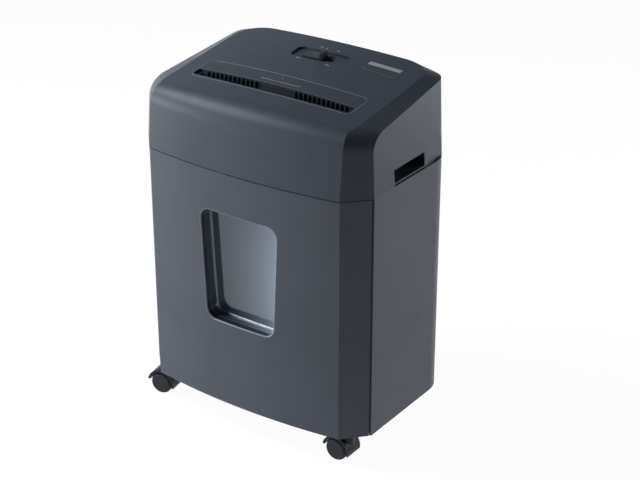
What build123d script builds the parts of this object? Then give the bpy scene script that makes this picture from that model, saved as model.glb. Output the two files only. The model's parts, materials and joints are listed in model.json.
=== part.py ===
"""Free-standing paper shredder: cutter head on a cabinet with a pull-out bin and twin-wheel casters.

Millimetres, +Z up, the front faces -Y, the floor is Z = 0 and the middle of the plan is X = Y = 0.
"""

import os
from math import acos, cos, pi, radians, sin, sqrt, tan

from build123d import *

os.makedirs("parts", exist_ok=True)

# Outer body
BODY_WIDTH = 334.0
BODY_DEPTH = 214.6
FRONT_BOW = 11.0
CHAMFER_X = 27.0
CHAMFER_Y = 30.0
REAR_RADIUS = 40.0
BODY_Z0 = 37.0
JOINT_Z = 351.0
WALL = 2.6
BASE_WALL = 4.0

# Head
TOP_Z = 443.7
TOP_SLOPE = 0.131
CROWN = 5.3
FRONT_LEAN = 5.5
EDGE_LEAN = 3.0
REAR_LEAN = 8.9
BACK_LEAN = 0.5
FRONT_ROUND = 33.0
CREASE_ROUND = 24.0
CREASE_REAR_Y = 104.5
CREASE_RADIUS = 31.0
BAND_WIDTH = 18.4
BAND_TAPER = 0.06
BAND_DROP = 6.9
BAND_REAR = 3.0
BAND_RADIUS = 19.0
BAND_ROUND = 28.0
TOP_RADIUS = 17.0
CREASE_RISE = 91.0

# Feed slot and the controls on top
SLOT_LENGTH = 228.0
SLOT_REAR_Y = -26.8
SLOT_WIDTH = 14.0
SLOT_BOW = 4.0
BEZEL_MARGIN = 2.2
BEZEL_REAR_Y = -1.8
THROAT_WIDTH = 9.0
THROAT_Z = 418.0
RIB_PITCH = 6.5
RIB_WIDTH = 2.0
RIB_DEPTH = 2.6
SMOOTH_LENGTH = 58.0
DISH_LENGTH = 79.0
DISH_WIDTH = 26.0
DISH_DEPTH = 3.4
DISH_X = 3.4
DISH_Y = 60.6
KNOB_LENGTH = 29.0
KNOB_WIDTH = 14.0
KNOB_X = -9.5
KNOB_LEFT = 10.0
KNOB_RIGHT = 24.0
STRIP_LENGTH = 46.0
STRIP_WIDTH = 7.5
STRIP_X = 88.0
STRIP_Y = 73.0

# Hand grips
GRIP_LENGTH = 66.0
GRIP_HEIGHT = 20.0
GRIP_DEPTH = 20.0
GRIP_Y = 9.5
LEDGE_GAP = 1.8

# Bin
PANEL_GAP = 1.5
PANEL_SET = 1.0
PANEL_WALL = 3.0
TUB_WALL = 2.2
TUB_Z0 = 58.0
TUB_Z1 = 330.0
TUB_FRONT_Y = -88.0
WINDOW_Z0 = 151.0
WINDOW_Z1 = 297.0
WINDOW_TOP = 57.0
WINDOW_BOTTOM = 50.0
WINDOW_ROUND = 14.0
LIP_DEPTH = 9.0
LIP_WALL = 2.0
SCOOP_DEPTH = 12.0
SCOOP_WALL = 2.0

# Cutters and gear train
CUT_HALF = 113.0
PLATE = 3.0
CUTTER_R = 22.0
CORE_R = 13.0
JOURNAL_R = 6.0
DISC = 3.4
DISC_PITCH = 8.4
DISC_COUNT = 26
DISC_TEETH = 6
SYNC_MODULE = 2.0
SYNC_TEETH = 20
DRIVE_MODULE = 1.5
DRIVE_TEETH = 48
PINION_TEETH = 12
WHEEL_MODULE = 1.0
WHEEL_TEETH = 60
MOTOR_PINION_TEETH = 12
GEAR_WIDTH = 7.0
GEAR_SPACE = 1.0
BACKLASH = 0.24
NIP_Y = -34.0
CUTTER_Z = 397.0
IDLER_ANGLE = 6.0
MOTOR_ANGLE = -20.0
MOTOR_R = 31.0
MOTOR_LENGTH = 104.0
MOTOR_SHAFT_R = 4.0

# Casters
CASTER_X = 139.0
REAR_CASTER_X = 126.0
CASTER_Y = 74.5
CASTER_TRAIL = 9.5
WHEEL_R = 14.5
WHEEL_WIDTH = 9.5
WHEEL_OUTER_ROUND = 3.6
WHEEL_INNER_ROUND = 1.4
WEB = 6.0
FENDER_GAP = 1.4
FENDER_WALL = 3.0
STEM_R = 4.0
AXLE_R = 2.5

# Clearances
RUN = 0.05
SEAT = 0.3
SIDE_PLAY = 1.0

# Derived sizes
HALF_W = BODY_WIDTH / 2
FRONT_Y = -BODY_DEPTH / 2
BACK_Y = BODY_DEPTH / 2
CORNER_X = HALF_W - CHAMFER_X
CORNER_Y = FRONT_Y + FRONT_BOW
EDGE_Y = CORNER_Y + CHAMFER_Y
FLOOR_Z = JOINT_Z + BASE_WALL
SYNC_R = SYNC_MODULE * SYNC_TEETH / 2
DRIVE_R = DRIVE_MODULE * DRIVE_TEETH / 2
PINION_R = DRIVE_MODULE * PINION_TEETH / 2
WHEEL_PITCH_R = WHEEL_MODULE * WHEEL_TEETH / 2
MOTOR_PINION_R = WHEEL_MODULE * MOTOR_PINION_TEETH / 2
FRONT_AXIS = (NIP_Y - SYNC_R, CUTTER_Z)
REAR_AXIS = (NIP_Y + SYNC_R, CUTTER_Z)
IDLER_REACH = DRIVE_R + PINION_R
IDLER_AXIS = (
    REAR_AXIS[0] + IDLER_REACH * cos(radians(IDLER_ANGLE)),
    REAR_AXIS[1] + IDLER_REACH * sin(radians(IDLER_ANGLE)),
)
MOTOR_REACH = WHEEL_PITCH_R + MOTOR_PINION_R
MOTOR_AXIS = (
    IDLER_AXIS[0] + MOTOR_REACH * cos(radians(MOTOR_ANGLE)),
    IDLER_AXIS[1] + MOTOR_REACH * sin(radians(MOTOR_ANGLE)),
)
PLATE_X = CUT_HALF + PLATE
SYNC_X = PLATE_X + GEAR_SPACE
DRIVE_X = SYNC_X + GEAR_WIDTH + GEAR_SPACE
WHEEL_X = DRIVE_X + GEAR_WIDTH + GEAR_SPACE
TRAIN_X = WHEEL_X + GEAR_WIDTH - GEAR_SPACE
COMB_FRONT_Y = FRONT_AXIS[0] - CUTTER_R - 3.0
COMB_REAR_Y = REAR_AXIS[0] + CUTTER_R + 3.0
COMB_BAR = 6.0
PANEL_Z0 = BODY_Z0
PANEL_Z1 = JOINT_Z - 1.4
LIP_Y = FRONT_Y + PANEL_SET + LIP_DEPTH
SCOOP_TAPER = 0.2 * WINDOW_ROUND
PIN_R = 1.75
SCREW_HEAD_R = 3.2


def save(name, *solids):
    """Write one node's solids to its own file."""
    export_step(Compound(children=[s for item in solids for s in item.solids()]), f"parts/{name}.step")


def bar(x0, x1, y0, y1, z0, z1):
    """Block between two opposite corners."""
    middle = Pos((x0 + x1) / 2, (y0 + y1) / 2, (z0 + z1) / 2)
    return middle * Box(x1 - x0, y1 - y0, z1 - z0)


def rod_x(x0, x1, y, z, r):
    """Round bar along X."""
    return Pos((x0 + x1) / 2, y, z) * Rot(0, 90, 0) * Cylinder(r, x1 - x0)


def rod_y(x, y0, y1, z, r):
    """Round bar along Y."""
    return Pos(x, (y0 + y1) / 2, z) * Rot(90, 0, 0) * Cylinder(r, y1 - y0)


def rod_z(x, y, z0, z1, r):
    """Round bar along Z."""
    return Pos(x, y, (z0 + z1) / 2) * Cylinder(r, z1 - z0)


def rounded(points, radii):
    """Closed face through the points, with each corner rounded by its own radius."""
    count = len(points)
    corners = []
    for i in range(count):
        here = Vector(*points[i])
        back = (Vector(*points[i - 1]) - here).normalized()
        ahead = (Vector(*points[(i + 1) % count]) - here).normalized()
        half = radians(back.get_angle(ahead)) / 2
        reach = radii[i] / tan(half)
        middle = here + (back + ahead).normalized() * (radii[i] / sin(half) - radii[i])
        corners.append((here + back * reach, middle, here + ahead * reach))
    edges = []
    for i in range(count):
        start, middle, stop = corners[i]
        if radii[i] > 0:
            edges.append(ThreePointArc(start, middle, stop))
        edges.append(Line(stop, corners[(i + 1) % count][0]))
    return make_face(edges)


def across(x):
    """Plane at X = x whose own axes run along Y and Z."""
    return Plane(origin=(x, 0, 0), x_dir=(0, 1, 0), z_dir=(1, 0, 0))


def facing(y):
    """Plane at Y = y whose own axes run along X and Z."""
    return Plane(origin=(0, y, 0), x_dir=(1, 0, 0), z_dir=(0, -1, 0))


def plan(inset=0.0):
    """Outline of the body seen from above: bowed front, front chamfers, round rear corners."""
    bend = REAR_RADIUS * (1 - sqrt(0.5))
    edges = [
        ThreePointArc((-CORNER_X, CORNER_Y), (0, FRONT_Y), (CORNER_X, CORNER_Y)),
        Line((CORNER_X, CORNER_Y), (HALF_W, EDGE_Y)),
        Line((HALF_W, EDGE_Y), (HALF_W, BACK_Y - REAR_RADIUS)),
        ThreePointArc(
            (HALF_W, BACK_Y - REAR_RADIUS), (HALF_W - bend, BACK_Y - bend), (HALF_W - REAR_RADIUS, BACK_Y)
        ),
        Line((HALF_W - REAR_RADIUS, BACK_Y), (REAR_RADIUS - HALF_W, BACK_Y)),
        ThreePointArc(
            (REAR_RADIUS - HALF_W, BACK_Y), (bend - HALF_W, BACK_Y - bend), (-HALF_W, BACK_Y - REAR_RADIUS)
        ),
        Line((-HALF_W, BACK_Y - REAR_RADIUS), (-HALF_W, EDGE_Y)),
        Line((-HALF_W, EDGE_Y), (-CORNER_X, CORNER_Y)),
    ]
    face = make_face(edges)
    if inset:
        face = offset(face, amount=-inset, kind=Kind.INTERSECTION)
    return face


def slab(inset, z0, z1):
    """The body's outline, inset all round, between two heights."""
    return Pos(0, 0, z0) * extrude(plan(inset), amount=z1 - z0, dir=(0, 0, 1))


def head_section(x, inset, z0):
    """Cross-section of the head's front and top at X = x, running on past the back."""
    share = (x / CORNER_X) ** 2
    lean = tan(radians(FRONT_LEAN))
    y0 = FRONT_Y + FRONT_BOW * share + inset
    y1 = 2 * BACK_Y
    z_top = TOP_Z - CROWN * share - inset * sqrt(1 + TOP_SLOPE**2)
    front_z = (z_top + TOP_SLOPE * (y0 - JOINT_Z * lean)) / (1 - TOP_SLOPE * lean)
    radius = FRONT_ROUND + (CREASE_ROUND - FRONT_ROUND) * share - inset
    points = [
        (y0 + (z0 - JOINT_Z) * lean, z0),
        (y0 + (front_z - JOINT_Z) * lean, front_z),
        (y1, z_top + TOP_SLOPE * y1),
        (y1, z0),
    ]
    return across(x) * rounded(points, [0, radius, 0, 0])


def drafted_outline(z, inset):
    """Outline of the head's sides and back at height z; the sides lean in more at the rear."""
    rise = z - JOINT_Z
    edge_x = HALF_W - inset - rise * tan(radians(EDGE_LEAN))
    rear_x = HALF_W - inset - rise * tan(radians(REAR_LEAN))
    rear_y = BACK_Y - inset - rise * tan(radians(BACK_LEAN))
    front_y = 2 * FRONT_Y
    front_x = edge_x + (edge_x - rear_x) * (EDGE_Y - front_y) / (BACK_Y - EDGE_Y)
    radius = REAR_RADIUS + (TOP_RADIUS - REAR_RADIUS) * rise / CREASE_RISE - inset
    points = [(-front_x, front_y), (front_x, front_y), (rear_x, rear_y), (-rear_x, rear_y)]
    return Pos(0, 0, z) * rounded(points, [0, 0, radius, radius])


def band_outline(share, inset):
    """Outline of the band round the top on its tilted plane; share 0 is the crease, 1 the outer edge."""
    rear = CREASE_REAR_Y + BAND_REAR * share - 0.4 * inset
    radius = CREASE_RADIUS + (BAND_RADIUS - CREASE_RADIUS) * share
    height = TOP_Z - CROWN - BAND_DROP * share - 1.1 * inset
    stretch = sqrt(1 + TOP_SLOPE**2)
    plane = Plane(origin=(0, 0, height), x_dir=(1, 0, 0), z_dir=(0, -TOP_SLOPE, 1))
    half = []
    for y in (1.5 * FRONT_Y, rear):
        x = CORNER_X + (BAND_WIDTH - BAND_TAPER * y) * share - 0.4 * inset
        half.append((x, y * stretch))
    points = half + [(-x, y) for x, y in reversed(half)]
    return plane * rounded(points, [0, radius, radius, 0])


def chamfer_block(sign, inset):
    """Everything outside one leaning front chamfer."""
    a = Vector(sign * CORNER_X, CORNER_Y, JOINT_Z)
    along = Vector(sign * CHAMFER_X, CHAMFER_Y, 0)
    up = Vector(0, tan(radians(FRONT_LEAN)), 1)
    normal = along.cross(up).normalized() * sign
    plane = Plane(origin=a - normal * inset, x_dir=along, z_dir=normal)
    return plane * Pos(0, 0, 100) * Box(500, 500, 200)


def head_form(inset=0.0, z0=JOINT_Z):
    """Solid form of the head, inset all round."""
    body = loft([drafted_outline(z, inset) for z in (z0, JOINT_Z + 125)], ruled=True)
    low, high = band_outline(1.6, inset), band_outline(-0.8, inset)
    body = body & (loft([low, high], ruled=True) + extrude(low, amount=200, dir=(0, 0, -1)))
    for sign in (-1, 1):
        body = body - chamfer_block(sign, inset)
    body = fillet([e for e in body.edges() if is_knee(e)], BAND_ROUND - inset)
    return body & loft([head_section(x, inset, z0) for x in (-1.25 * CORNER_X, 0, 1.25 * CORNER_X)])


def is_knee(edge):
    """True for the edge where a front chamfer turns over into the band round the top."""
    ends = [edge @ 0, edge @ 1]
    outer = all(abs(p.X) > CORNER_X - 1.4 * BAND_WIDTH and p.Z > JOINT_Z + 20 for p in ends)
    return outer and (edge @ 0.5).Y < EDGE_Y


def top_at(y):
    """Height of the head's top above the middle line at depth y."""
    return TOP_Z + TOP_SLOPE * y


def within_skin(x, y):
    """Height half-way through the head's top skin."""
    return top_at(y) - CROWN * (x / CORNER_X) ** 2 - WALL / 2


def window(grow=0.0):
    """Outline of the bin's window, widening upwards."""
    points = [
        (-WINDOW_BOTTOM - grow, WINDOW_Z0 - grow),
        (WINDOW_BOTTOM + grow, WINDOW_Z0 - grow),
        (WINDOW_TOP + grow, WINDOW_Z1 + grow),
        (-WINDOW_TOP - grow, WINDOW_Z1 + grow),
    ]
    return rounded(points, [WINDOW_ROUND + grow] * 4)


def window_block(grow, y0, y1):
    """Block of the window's outline between two depths."""
    return extrude(facing(y0) * window(grow), amount=y1 - y0, dir=(0, 1, 0))


def screw(x, y, z, length):
    """Pan-head screw driven upwards, its head's upper face at z."""
    body = rod_z(x, y, z - 2.0, z, SCREW_HEAD_R) + rod_z(x, y, z - 0.5, z + length, PIN_R - RUN)
    slot = bar(x - 2.0, x + 2.0, y - 0.4, y + 0.4, z - 2.1, z - 1.1)
    return body - slot - Pos(x, y, z) * Rot(0, 0, 90) * Pos(-x, -y, -z) * slot


def gear(module, teeth, x0, width, axis, turn, bore):
    """Spur gear about an axis along X, with a tooth at the angle turn; stub teeth at 25 degrees."""
    pitch = module * teeth / 2
    base = pitch * cos(radians(25))
    tip = pitch + 0.8 * module
    root = pitch - 1.1 * module
    low = max(base, root)

    def flank(r):
        """Involute angle at radius r."""
        return sqrt(max((r / base) ** 2 - 1, 0)) - acos(min(base / r, 1.0))

    half = pi / (2 * teeth) - BACKLASH / (2 * pitch) + flank(pitch)
    radii = [low + (tip - low) * i / 3 for i in range(4)]
    rise = [(r, half - flank(r)) for r in radii]
    points = []
    for tooth in range(teeth):
        centre = radians(turn) + 2 * pi * tooth / teeth
        outline = [(root, rise[0][1])] + rise if low > root else rise
        for r, lag in outline:
            points.append((r * cos(centre - lag), r * sin(centre - lag)))
        for r, lag in reversed(outline):
            points.append((r * cos(centre + lag), r * sin(centre + lag)))
    blank = make_face(Polyline(points, close=True)) - Circle(bore)
    return extrude(across(x0) * Pos(*axis) * blank, amount=width, dir=(1, 0, 0))


def mesh_turn(angle, teeth):
    """Angle that puts a gap opposite a tooth that points along angle."""
    return angle + 180 + 180 / teeth


# Cabinet: sides and back in one moulding, with gussets that carry the head
FRONT_CUT = EDGE_Y + PANEL_GAP / 2
shell = slab(0, BODY_Z0, JOINT_Z) - slab(WALL, BODY_Z0 - 1, JOINT_Z + 1)
shell = shell - bar(-HALF_W - 1, HALF_W + 1, FRONT_Y - 1, FRONT_CUT, BODY_Z0 - 1, JOINT_Z + 1)
GUSSETS = [(sx * (HALF_W - 9), y) for sx in (-1, 1) for y in (FRONT_CUT + 12, BACK_Y - REAR_RADIUS - 8)]
for gx, gy in GUSSETS:
    sx = 1 if gx > 0 else -1
    x0, x1 = sorted((gx - 7 * sx, sx * (HALF_W - WALL / 2)))
    gusset = bar(x0, x1, gy - 7, gy + 7, JOINT_Z - 7, JOINT_Z)
    shell = shell + gusset - rod_z(gx, gy, JOINT_Z - 8, JOINT_Z + 1, PIN_R)
save("cabinet_shell", shell)

# Cabinet floor with runners for the bin and sockets for the caster stems
SOCKET_Z = TUB_Z0 - 3.0


def stem_place(sx, sy):
    """X and Y of a caster's stem; the rear pair stands further in than the front pair."""
    return sx * (CASTER_X if sy < 0 else REAR_CASTER_X), sy * CASTER_Y


floor_plan = plan(WALL) & (Pos(0, 7.0) * plan(WALL))
floor = Pos(0, 0, BODY_Z0) * extrude(floor_plan, amount=4.0, dir=(0, 0, 1))
for sx in (-1, 1):
    floor = floor + bar(sx * 100 - 2, sx * 100 + 2, TUB_FRONT_Y + 8, BACK_Y - 10, BODY_Z0, TUB_Z0 - SEAT)
    for sy in (-1, 1):
        floor = floor + rod_z(*stem_place(sx, sy), BODY_Z0, SOCKET_Z, STEM_R + 5)
for sx in (-1, 1):
    for sy in (-1, 1):
        floor = floor - rod_z(*stem_place(sx, sy), BODY_Z0 - 1, SOCKET_Z - 2, STEM_R + RUN)
save("cabinet_base", floor)

# Bin: front panel with a return lip round the window
panel = slab(PANEL_SET, PANEL_Z0, PANEL_Z1)
panel = panel - slab(PANEL_SET + PANEL_WALL, PANEL_Z0 - 1, PANEL_Z1 - PANEL_WALL)
PANEL_BACK = EDGE_Y - PANEL_GAP / 2
panel = panel - bar(-HALF_W - 1, HALF_W + 1, PANEL_BACK, BACK_Y + 1, PANEL_Z0 - 1, PANEL_Z1 + 1)
flange_cut = slab(PANEL_SET + PANEL_WALL + 11, PANEL_Z1 - PANEL_WALL - 1, PANEL_Z1 + 1)
panel = panel - flange_cut
lip = window_block(LIP_WALL, FRONT_Y - 2, LIP_Y) & slab(PANEL_SET, PANEL_Z0, PANEL_Z1)
BOSSES = [(sx * 105, z) for sx in (-1, 1) for z in (PANEL_Z0 + 40, PANEL_Z1 - 40)]
for bx, bz in BOSSES:
    boss = rod_y(bx, FRONT_Y, TUB_FRONT_Y, bz, 5.0) & slab(PANEL_SET + 1, PANEL_Z0, PANEL_Z1)
    lip = lip + boss
panel = panel + lip - window_block(0, FRONT_Y - 5, LIP_Y + 1)
for bx, bz in BOSSES:
    panel = panel - rod_y(bx, TUB_FRONT_Y - 9, TUB_FRONT_Y + 1, bz, PIN_R)
save("bin_front", panel)

# Bin tub, open at the top, with a hole for the scoop
TUB_INSET = 9.0
tub_front = bar(-HALF_W, HALF_W, TUB_FRONT_Y, BACK_Y, TUB_Z0, TUB_Z1)
tub_core = bar(-HALF_W, HALF_W, TUB_FRONT_Y + TUB_WALL, BACK_Y, TUB_Z0 + TUB_WALL, TUB_Z1 + 1)
tub = slab(TUB_INSET, TUB_Z0, TUB_Z1) & tub_front
tub = tub - (slab(TUB_INSET + TUB_WALL, TUB_Z0 + TUB_WALL, TUB_Z1 + 1) & tub_core)
tub = tub - window_block(3.0, TUB_FRONT_Y - 1, TUB_FRONT_Y + TUB_WALL + 1)
for bx, bz in BOSSES:
    tub = tub - rod_y(bx, TUB_FRONT_Y - 1, TUB_FRONT_Y + TUB_WALL + 1, bz, PIN_R + RUN)
save("bin_tub", tub)
bin_screws = []
for bx, bz in BOSSES:
    tool = Pos(bx, TUB_FRONT_Y + TUB_WALL, bz) * Rot(90, 0, 0)
    bin_screws.append(tool * screw(0, 0, 0, 9.0))
save("bin_screws", *bin_screws)


# Scooped window behind the lip
def bowl(grow, depth):
    """Recess of the window's outline whose walls curve in towards its back."""
    rows = []
    for share in (0.0, 0.5, 0.8, 1.0):
        inset = SCOOP_TAPER * (1 - sqrt(1 - share**2))
        rows.append(facing(LIP_Y + share * depth) * window(grow - inset))
    return loft(rows)


scoop = bowl(1.0, SCOOP_DEPTH) + window_block(6.0, LIP_Y, LIP_Y + SCOOP_WALL)
scoop = scoop - bowl(1.0 - SCOOP_WALL, SCOOP_DEPTH - SCOOP_WALL)
save("bin_window", scoop)

# Head floor with the outlet for the shreds
OUTLET = (CUT_HALF - 5, NIP_Y - 32, NIP_Y + 32)
FRAME_SCREWS = [(sx * (PLATE_X + 6), y) for sx in (-1, 1) for y in (NIP_Y - 38, NIP_Y + 44)]
HEAD_SCREWS = [(sx * x, y) for sx in (-1, 1) for x, y in ((149, -50), (125, 92), (60, -93))]
HEAD_SEAT = JOINT_Z + 2.0
PLUNGER = (-128.0, CORNER_Y + 10.5)
PLUNGER_R = 2.5
hollow = head_form(WALL, JOINT_Z - 5)
floor = slab(WALL + SEAT, JOINT_Z, FLOOR_Z) & head_form(WALL + SEAT, JOINT_Z - 5)
GRIP_Y0 = GRIP_Y - GRIP_LENGTH / 2
GRIP_Y1 = GRIP_Y + GRIP_LENGTH / 2
for sx in (-1, 1):
    x0, x1 = sorted((sx * (HALF_W - WALL - 6), sx * (HALF_W - 1)))
    floor = floor + bar(x0, x1, GRIP_Y0 + SEAT, GRIP_Y1 - SEAT, JOINT_Z + LEDGE_GAP, FLOOR_Z)
floor = floor - bar(-OUTLET[0], OUTLET[0], OUTLET[1], OUTLET[2], JOINT_Z - 1, FLOOR_Z + 1)
floor = floor + rod_z(*PLUNGER, JOINT_Z, FLOOR_Z + 8, PLUNGER_R + 2)
for x in (PLUNGER[0] - 9, PLUNGER[0] + 9):
    floor = floor + bar(x - 2, x + 2, PLUNGER[1] - 3, PLUNGER[1] + 3, JOINT_Z, FLOOR_Z + 16)
floor = floor - rod_z(*PLUNGER, JOINT_Z - 1, FLOOR_Z + 10, PLUNGER_R + RUN)
for x, y in FRAME_SCREWS + HEAD_SCREWS + GUSSETS:
    floor = floor - rod_z(x, y, JOINT_Z - 1, FLOOR_Z + 1, PIN_R + RUN)
for x, y in FRAME_SCREWS + HEAD_SCREWS:
    floor = floor - rod_z(x, y, JOINT_Z - 1, HEAD_SEAT, SCREW_HEAD_R + SEAT)
save("head_base", floor)

# Head cover
form = head_form()
half_skin = head_form(WALL / 2, JOINT_Z - 5)
skin = form - hollow


def slot_outline(grow, rear):
    """Feed slot seen from above: straight rear edge, bowed front edge."""
    half = SLOT_LENGTH / 2 + grow
    front = SLOT_REAR_Y - SLOT_WIDTH - grow
    return make_face(
        [
            ThreePointArc((-half, front), (0, front - SLOT_BOW), (half, front)),
            Line((half, front), (half, rear)),
            Line((half, rear), (-half, rear)),
            Line((-half, rear), (-half, front)),
        ]
    )


def slot_block(grow, rear, z0, z1, radius):
    """Upright block of the slot's outline with its corners rounded."""
    block = Pos(0, 0, z0) * extrude(slot_outline(grow, rear), amount=z1 - z0, dir=(0, 0, 1))
    return fillet(block.edges().filter_by(Axis.Z), radius)


high = TOP_Z + 40
bosses = [rod_z(x, y, FLOOR_Z, high, 4.5) for x, y in HEAD_SCREWS]
cuts = [rod_z(x, y, FLOOR_Z - 1, FLOOR_Z + 14, PIN_R) for x, y in HEAD_SCREWS]
cuts.append(slot_block(BEZEL_MARGIN, BEZEL_REAR_Y, THROAT_Z, high, 6.0))

# Switch dish with its floor, and the slit the knob's stem slides in
slope_angle = Vector(1, 0).get_angle(Vector(1, TOP_SLOPE))
dish_plane = Pos(DISH_X, DISH_Y, top_at(DISH_Y)) * Rot(slope_angle, 0, 0)
STEM_W = 4.0
dish_floor = dish_plane * Pos(0, 0, -DISH_DEPTH)
pad = dish_floor * Box(DISH_LENGTH + 6, DISH_WIDTH + 6, DISH_DEPTH + WALL)
cuts.append(dish_floor * extrude(RectangleRounded(DISH_LENGTH, DISH_WIDTH, 8), amount=12))
SLIT_LENGTH = KNOB_LEFT + KNOB_RIGHT + STEM_W + 2
SLIT_X = KNOB_X + (KNOB_RIGHT - KNOB_LEFT) / 2
cuts.append(dish_plane * Pos(SLIT_X, 0, 0) * Box(SLIT_LENGTH, STEM_W + 2 * SIDE_PLAY, 40))

# Posts that hang the control board
BOARD_DEPTH = 17.0
BOARD = (100.0, 40.0, 1.6)
board_plane = dish_plane * Pos(0, 0, -BOARD_DEPTH)
posts = []
for px, py in [(sx * 45.0, sy * 15.0) for sx in (-1, 1) for sy in (-1, 1)]:
    posts.append(board_plane * Pos(px, py, 10 + BOARD[2] / 2) * Cylinder(3.2, 20))

# Seat of the silver strip, and the grip notches
strip_plan = Pos(STRIP_X, STRIP_Y, JOINT_Z + 60) * Box(STRIP_LENGTH, STRIP_WIDTH, 140)
strip_seat = strip_plan & (form - head_form(1.0, JOINT_Z - 5))
cuts.append(strip_seat)
for sx in (-1, 1):
    x0, x1 = sorted((sx * (HALF_W - GRIP_DEPTH), sx * (HALF_W + 5)))
    cuts.append(bar(x0, x1, GRIP_Y0, GRIP_Y1, JOINT_Z - 1, JOINT_Z + GRIP_HEIGHT))

# Cord gland seat at the back
GLAND_X, GLAND_Z = -90.0, JOINT_Z + 24.0
gland_face = BACK_Y - (GLAND_Z - JOINT_Z) * tan(radians(BACK_LEAN)) - 0.9
cuts.append(rod_y(GLAND_X, gland_face, BACK_Y + 5, GLAND_Z, 9.5))
cuts.append(rod_y(GLAND_X, gland_face - 12, BACK_Y, GLAND_Z, 6.5))
carried = (pad + bosses + posts) & half_skin
save("head_cover", skin + carried - cuts)
save("status_strip", strip_seat)

# Grip cups, resting on the head's floor behind the notches
CUP = 2.0
for side, sx in (("left", -1), ("right", 1)):
    x0, x1 = sorted((sx * (HALF_W - GRIP_DEPTH - CUP), sx * (HALF_W - WALL - 4)))
    cup = bar(x0, x1, GRIP_Y0 - CUP, GRIP_Y1 + CUP, FLOOR_Z, JOINT_Z + GRIP_HEIGHT + CUP)
    x2, x3 = sorted((sx * (HALF_W - GRIP_DEPTH), sx * (HALF_W + 5)))
    cup = cup - bar(x2, x3, GRIP_Y0, GRIP_Y1, FLOOR_Z - 1, JOINT_Z + GRIP_HEIGHT)
    save(f"grip_pocket_{side}", cup & hollow)

# Feed bezel and paper funnel with comb ribs, and the bearings of the paper feeler
LEVER_Y, LEVER_Z = SLOT_REAR_Y + 8.4, THROAT_Z + 8.0
LEVER_R = 1.5
bezel = skin & slot_block(BEZEL_MARGIN - SEAT / 3, BEZEL_REAR_Y - SEAT / 3, THROAT_Z, high, 6.0)
under = hollow & slot_block(BEZEL_MARGIN + 4, BEZEL_REAR_Y + 4, THROAT_Z, high, 6.0)
under = under - head_form(WALL + 1.6, JOINT_Z - 5)
mouth_z = top_at(SLOT_REAR_Y) - CROWN
upper_y = SLOT_REAR_Y - SLOT_WIDTH / 2
funnels = []
for grow in (2.0, 0.0):
    upper = Rectangle(SLOT_LENGTH - 8 + 2 * grow, SLOT_WIDTH + 2 * grow)
    lower = Rectangle(SLOT_LENGTH - 12 + 2 * grow, THROAT_WIDTH + 2 * grow)
    rows = [Pos(0, upper_y, mouth_z + 8) * upper, Pos(0, NIP_Y, THROAT_Z) * lower]
    funnels.append(loft(rows, ruled=True))
guide = bezel + under + (funnels[0] & half_skin)
guide = guide - slot_block(0, SLOT_REAR_Y, mouth_z - 2, high, 4.0) - funnels[1]
steps = int((SLOT_LENGTH / 2 - 10 - SMOOTH_LENGTH / 2) / RIB_PITCH)
rib_y = SLOT_REAR_Y - 0.2
added = []
for sx in (-1, 1):
    for i in range(steps + 1):
        x = sx * (SMOOTH_LENGTH / 2 + i * RIB_PITCH)
        x0, x1 = x - RIB_WIDTH / 2, x + RIB_WIDTH / 2
        added.append(bar(x0, x1, rib_y - RIB_DEPTH, rib_y, THROAT_Z + 3, within_skin(x, rib_y)))
    x0, x1 = sorted((sx * 6.5, sx * 9.0))
    added.append(bar(x0, x1, LEVER_Y - 3, LEVER_Y + 3, LEVER_Z - 3, within_skin(0, LEVER_Y)))
SENSOR_Z = LEVER_Z + 7.0
SENSOR_Y = BEZEL_REAR_Y - 0.5
added.append(bar(-5, 5, SENSOR_Y - 2, SENSOR_Y, SENSOR_Z, within_skin(0, SENSOR_Y)))
feeler_way = bar(-3, 3, SLOT_REAR_Y - 5, SLOT_REAR_Y + 4, THROAT_Z - 1, LEVER_Z + 4)
guide = guide + added - rod_x(-10, 10, LEVER_Y, LEVER_Z, LEVER_R + RUN) - feeler_way
save("throat_guide", guide)

# Paper feeler and the fork sensor that its tail swings in
TAIL_Y = SENSOR_Y - 3.0
lever = rod_x(-5.5, 5.5, LEVER_Y, LEVER_Z, 2.6) + rod_x(-9, 9, LEVER_Y, LEVER_Z, LEVER_R)
lever = lever + bar(-1.5, 1.5, NIP_Y + 1, LEVER_Y, LEVER_Z - 1.2, LEVER_Z + 1.2)
lever = lever + bar(-0.8, 0.8, LEVER_Y, TAIL_Y, LEVER_Z - 1.2, LEVER_Z + 1.2)
save("paper_lever", lever)
sensor = bar(-5, 5, TAIL_Y - 5, SENSOR_Y, LEVER_Z - 5, SENSOR_Z)
sensor = sensor - bar(-2.2, 2.2, TAIL_Y - 6, TAIL_Y + 1, LEVER_Z - 6, SENSOR_Z + 1)
save("paper_sensor", sensor)

# Slide switch: knob in the dish, switch body on the control board
knob_plane = dish_plane * Pos(KNOB_X, 0, -DISH_DEPTH)
KNOB_LOW = 2.0
KNOB_HIGH = 4.2
FIN = 2.8
FIN_HEIGHT = 9.0
end = KNOB_LENGTH / 2
wedge = [
    (-end, SEAT),
    (end, SEAT),
    (end, SEAT + FIN_HEIGHT),
    (end - FIN, SEAT + FIN_HEIGHT),
    (end - 1.4 * FIN, SEAT + KNOB_HIGH),
    (-end, SEAT + KNOB_LOW),
]
side = facing(-KNOB_WIDTH / 2) * make_face(Polyline(wedge, close=True))
knob = knob_plane * extrude(side, amount=KNOB_WIDTH, dir=(0, 1, 0))
SWITCH_H = 7.0
CHANNEL = 3.0
stem_low = -BOARD_DEPTH + BOARD[2] / 2 + SWITCH_H - CHANNEL + SEAT + DISH_DEPTH
stem_high = SEAT + 1.0
knob = knob + knob_plane * Pos(0, 0, (stem_low + stem_high) / 2) * Box(STEM_W, STEM_W, stem_high - stem_low)
save("switch_knob", knob)
board = board_plane * Box(*BOARD)
save("control_board", board)
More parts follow.
